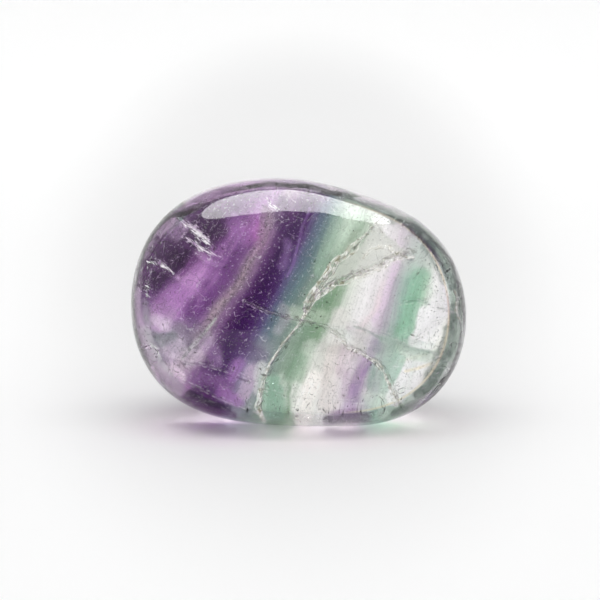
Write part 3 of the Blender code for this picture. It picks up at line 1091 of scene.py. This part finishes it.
def sheet(line, offset, front_depth, back_depth):
    """A grid from a seen line to the line moved aside and deeper, shaken, given a thickness and closed."""
    length = np.linalg.norm(np.diff(np.array(line), axis=0), axis=1).sum()
    long_cells = max(int(length / SHEET_CELL), 4)
    deep_cells = max(int((back_depth - front_depth) / DEEP_CELL), 3)
    u, w = np.meshgrid(np.linspace(0, 1, long_cells + 1), np.linspace(0, 1, deep_cells + 1), indexing="ij")
    near = along(line, u)
    far = along([(x + offset[0], z + offset[1]) for x, z in line], u)
    place = near + (far - near) * w[..., None]
    middle = seen_point(place[..., 0], place[..., 1], front_depth + (back_depth - front_depth) * w)
    middle = middle + sheet_random.normal(scale=SHEET_JAG, size=middle.shape)
    along_u, along_w = np.gradient(middle, axis=(0, 1))
    normal = np.cross(along_u, along_w)
    normal /= np.linalg.norm(normal, axis=-1, keepdims=True) + 1e-9
    points = np.concatenate([(middle + normal * SHEET_THICKNESS / 2).reshape(-1, 3),
                             (middle - normal * SHEET_THICKNESS / 2).reshape(-1, 3)])
    rows, columns = long_cells + 1, deep_cells + 1
    index = np.arange(rows * columns).reshape(rows, columns)
    top = np.stack([index[:-1, :-1], index[1:, :-1], index[1:, 1:], index[:-1, 1:]], axis=-1).reshape(-1, 4)
    rim = np.concatenate([index[:-1, 0], index[-1, :-1], index[:0:-1, -1], index[0, :0:-1]])
    after = np.roll(rim, -1)
    under = rows * columns
    sides = np.stack([after, rim, rim + under, after + under], axis=-1)
    quads = np.concatenate([top, top[:, ::-1] + under, sides])
    return points, quads


def joined(parts):
    """Several point and face arrays as one."""
    counts = np.cumsum([0] + [len(points) for points, _ in parts])
    points = np.concatenate([points for points, _ in parts])
    faces = np.concatenate([faces + start for (_, faces), start in zip(parts, counts)])
    return points, faces


fractures = joined([
    sheet(LEFT_BRANCH, (0.4, 0.1), 0.5, 2.6),
    sheet(RIGHT_BRANCH, (-0.2, 0.4), 0.6, 2.8),
    sheet(STEM[:-1], (0.3, 0.0), 0.5, 2.2),
    sheet(CROSSING, (0.25, 0.35), 0.6, 3.0),
])
veils = new_piece("fracture_veils", *fractures, smooth=False)
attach(veils, "root")
print("fracture sheets:", len(fractures[1]) * 2, "triangles")


# %% Flakes
FLAKE_COUNT = 420
FLAKE_SHAPE = (1.0, 0.45, 0.12)
FLAKE_SPREAD = 0.22
FLAKE_DEPTHS = (0.4, 2.4)
INNER_SHARES = (0.3, 0.95)
FLAKE_FACES = [[0, 2, 4], [2, 1, 4], [1, 3, 4], [3, 0, 4], [2, 0, 5], [1, 2, 5], [3, 1, 5], [0, 3, 5]]
FLAKE_LINES = [(LEFT_BRANCH, 50), (RIGHT_BRANCH, 60), (STEM[:-1], 30), (GLINTS, 60), (CROSSING, 30)]
FLAKE_LINES += [(line, 22) for line, _ in FEATHERS]
flake_random = np.random.default_rng(43)


def flakes(centres, sizes):
    """Flattened eight-faced flakes: three random axes at right angles, each size x its share of the shape."""
    count = len(centres)
    axes = np.linalg.qr(flake_random.normal(size=(count, 3, 3)))[0]
    axes *= np.sign(np.linalg.det(axes))[:, None, None]
    reach = sizes[:, None] * np.array(FLAKE_SHAPE)
    arms = axes * reach[:, None, :]
    arms = np.moveaxis(arms, -1, 1)
    points = np.stack([arms[:, 0], -arms[:, 0], arms[:, 1], -arms[:, 1], arms[:, 2], -arms[:, 2]], axis=1)
    points = (points + centres[:, None, :]).reshape(-1, 3)
    faces = (np.array(FLAKE_FACES)[None] + 6 * np.arange(count)[:, None, None]).reshape(-1, 3)
    return points, faces


def flake_places():
    """Places along each fracture line, shaken a little, and then anywhere inside the stone."""
    groups = []
    for line, count in FLAKE_LINES:
        place = along(line, flake_random.uniform(size=count))
        place = place + flake_random.normal(scale=FLAKE_SPREAD, size=(count, 2))
        groups.append(seen_point(*place.T, flake_random.uniform(*FLAKE_DEPTHS, count)))
    spread = flake_random.normal(size=(FLAKE_COUNT, 3))
    spread /= np.linalg.norm(spread, axis=1, keepdims=True)
    inner = pebble(spread) * flake_random.uniform(*INNER_SHARES, FLAKE_COUNT)[:, None] ** 0.5
    groups.append(stood(inner))
    return np.concatenate(groups)


places = flake_places()
SIZE_SHAPE, SIZE_SCALE, LEAST_SIZE = 3.0, 0.028, 0.04
sizes = flake_random.gamma(SIZE_SHAPE, SIZE_SCALE, len(places)) + LEAST_SIZE
flake_piece = new_piece("inclusion_flakes", *flakes(places, sizes), smooth=False)
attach(flake_piece, "root")
print("flakes:", len(places))

# %% Finishes of the fractures and the flakes
VEIL_WHITE = (0.95, 0.93, 0.89)
FLAKE_WHITE = (0.96, 0.94, 0.92)


def mirrored(name, colour, metallic, roughness):
    """Part mirror and part white: the share of mirror is the metallic value."""
    finish = Finish(bpy.data.materials.new(name))
    finish.shader.inputs["Base Color"].default_value = rgba(colour)
    finish.shader.inputs["Metallic"].default_value = metallic
    finish.shader.inputs["Roughness"].default_value = roughness
    return finish


def fracture_finish():
    """Half mirror and half white, covering the sheet in feathery patches."""
    finish = mirrored("fracture_mirror", VEIL_WHITE, metallic=0.5, roughness=0.15)
    x, y, z = finish.place()
    patch = finish.cloud(x * 1.3, y * 1.3, z * 1.3, 3.0, 0.65)
    finish.set(finish.shader.inputs["Alpha"], patch.rise(0.42, 0.58) * 0.6)
    return finish.owner


veils.data.materials.append(fracture_finish())
flake_piece.data.materials.append(mirrored("flake_frost", FLAKE_WHITE, metallic=0.35, roughness=0.25).owner)

# %% [markdown]
# ## The studio
#
# The stone stands on a sheet of pale paper that curves up behind it, so that no horizon shows. The paper's
# fade to white away from the stone, a patch of light behind it and part of the soft shadow under the stone
# are painted light and shade. One large soft light hangs above and a little behind, which is what draws the
# bright band along the top of the stone. The room on the camera's side stays dim, and that dimness is what
# the dark rims of the stone show, deepened by painted shade on the rim.

# %% Paper sweep
PAPER_FRONT = -1500.0
PAPER_BACK = 450.0
PAPER_RISE = 260.0
PAPER_HALF_WIDTH = 1500.0
PAPER_TOP = 1200.0
PAPER_WHITE = (1.0, 1.0, 1.0)
# the warm tint of the painted shadow near the stone
PAINTED_SHADOW_TINT = (1.0, 0.955, 0.972)
PAPER_ROUGHNESS = 0.9


def paper_sweep():
    """A profile of a floor, a quarter circle and a wall, carried sideways."""
    turn = np.linspace(0.0, np.pi / 2, 25)
    y = np.concatenate([[PAPER_FRONT], PAPER_BACK + PAPER_RISE * np.sin(turn), [PAPER_BACK + PAPER_RISE]])
    z = np.concatenate([[0.0], PAPER_RISE * (1.0 - np.cos(turn)), [PAPER_TOP]])
    left = np.stack([np.full_like(y, -PAPER_HALF_WIDTH), y, z], axis=-1)
    right = left * (-1.0, 1.0, 1.0)
    step = np.arange(len(y) - 1)
    quads = np.stack([step, step + len(y), step + len(y) + 1, step + 1], axis=-1)
    paper = new_piece("paper_sweep", np.concatenate([left, right]), quads)
    return paper


def oval(x, y, width, middle, depth):
    """x^2 / width + (y - middle)^2 / depth, at most 4, where width and depth are squares of half axes."""
    return (x * x / width + (y - middle) * (y - middle) / depth).at_most(4.0)


def paper_finish():
    """Matt paper with painted light and shade: lighter away from the stone, further back and in a patch
    behind it, darker and warmer in a painted contact shadow under the stone.
    """
    finish = Finish(bpy.data.materials.new("pale_paper"))
    x, y, _ = finish.place()
    # Painted light and shade: the paper is painted lighter away from the stone, further back and in a patch
    # behind it, and painted darker under the stone as a contact shadow.
    away = oval(x, y, 900.0, 90.0, 22500.0).rise(0.20, 1.15)
    painted_contact_shadow = oval(x, y, 70.0, -5.2, 11.0).fall(0.2, 1.6)
    painted_light_patch = oval(x, y, 144.0, 46.0, 1100.0).fall(0.5, 1.5)
    far = y.rise(60.0, 150.0)
    lightness = 0.832 + away * 0.135 + far * 0.045 + painted_light_patch * 0.12 - painted_contact_shadow * 0.22
    # The painted shadow near the stone is tinted warm.
    painted_warm_shadow = oval(x, y, 260.0, -3.0, 90.0).fall(0.3, 1.3)
    painted_shadow_colour = finish.mix(painted_warm_shadow, rgba(PAPER_WHITE), rgba(PAINTED_SHADOW_TINT))
    colour = finish.mix(1.0, finish.grey(lightness), painted_shadow_colour, "MULTIPLY")
    finish.set(finish.shader.inputs["Base Color"], colour)
    finish.shader.inputs["Roughness"].default_value = PAPER_ROUGHNESS
    finish.shader.inputs["Specular IOR Level"].default_value = 0.0
    return finish.owner


paper = paper_sweep()
paper.data.materials.append(paper_finish())

# %% Lights: place, width and depth in mm, watts, what it lights, and its turn and tilt
SOFTBOX_TURN = np.radians(21.7)
UPRIGHT = np.radians(90.0)
LAMPS = {
    "overhead_softbox": ((-10.0, 157.0, 450.0), 584.0, 318.0, 4.4, "stone", SOFTBOX_TURN, 0.0),
    "paper_light": ((0.0, 30.0, 620.0), 1000.0, 240.0, 1.24, "paper", 0.0, 0.0),
    "wall_light": ((0.0, 330.0, 420.0), 1400.0, 700.0, 0.8, "paper", 0.0, UPRIGHT),
}


def soft_light(name, place, width, depth, watts, lights, turn, tilt):
    """A flat oval lamp, which faces down unless it is tilted, for the glossy stone or for the dull paper."""
    data = bpy.data.lights.new(name, "AREA")
    data.shape = "ELLIPSE"
    data.size, data.size_y = width * MM, depth * MM
    data.energy = watts
    lamp = bpy.data.objects.new(name, data)
    lamp.location = Vector(place) * MM
    lamp.rotation_euler = (tilt, 0.0, turn)
    lamp.visible_diffuse = lights == "paper"
    lamp.visible_glossy = lights == "stone"
    lamp.visible_transmission = lights == "stone"
    bpy.context.scene.collection.objects.link(lamp)


for name, values in LAMPS.items():
    soft_light(name, *values)

# %% The room: how light it is in each direction
ROOM = [
    (-1.0, (0.30, 0.30, 0.30)),
    (-0.35, (0.30, 0.30, 0.30)),
    (0.10, (0.60, 0.60, 0.60)),
    (0.45, (0.88, 0.88, 0.88)),
    (1.0, (0.94, 0.94, 0.94)),
]
SIDE_GLOW = 0.34


def studio_room():
    """Light from the room, by how far a direction points up and away from the camera, plus both sides."""
    room = Finish(bpy.data.worlds.new("room"), "Background", "World Output")
    direction = room.add("ShaderNodeTexCoord", out="Generated")
    x, y, z = room.add("ShaderNodeSeparateXYZ", None, {0: direction}, (0, 1, 2))
    light = room.ramp(y * 0.6 + z * 0.8, -1.0, 1.0, ROOM)
    sides = room.grey(abs(x).rise(0.80, 0.97) * y.fall(-0.25, 0.05) * SIDE_GLOW)
    room.set(room.shader.inputs["Color"], room.mix(1.0, light, sides, "ADD"))
    bpy.context.scene.world = room.owner


studio_room()

# %% Picture settings: enough bounces for light to pass the stone, its sheets and its flakes
BOUNCES = 14
CLEAR_BOUNCES = 24
scene = bpy.context.scene
scene.view_settings.view_transform = "Standard"
scene.cycles.max_bounces = BOUNCES
scene.cycles.transmission_bounces = BOUNCES
scene.cycles.transparent_max_bounces = CLEAR_BOUNCES
scene.cycles.caustics_reflective = True
scene.cycles.caustics_refractive = True
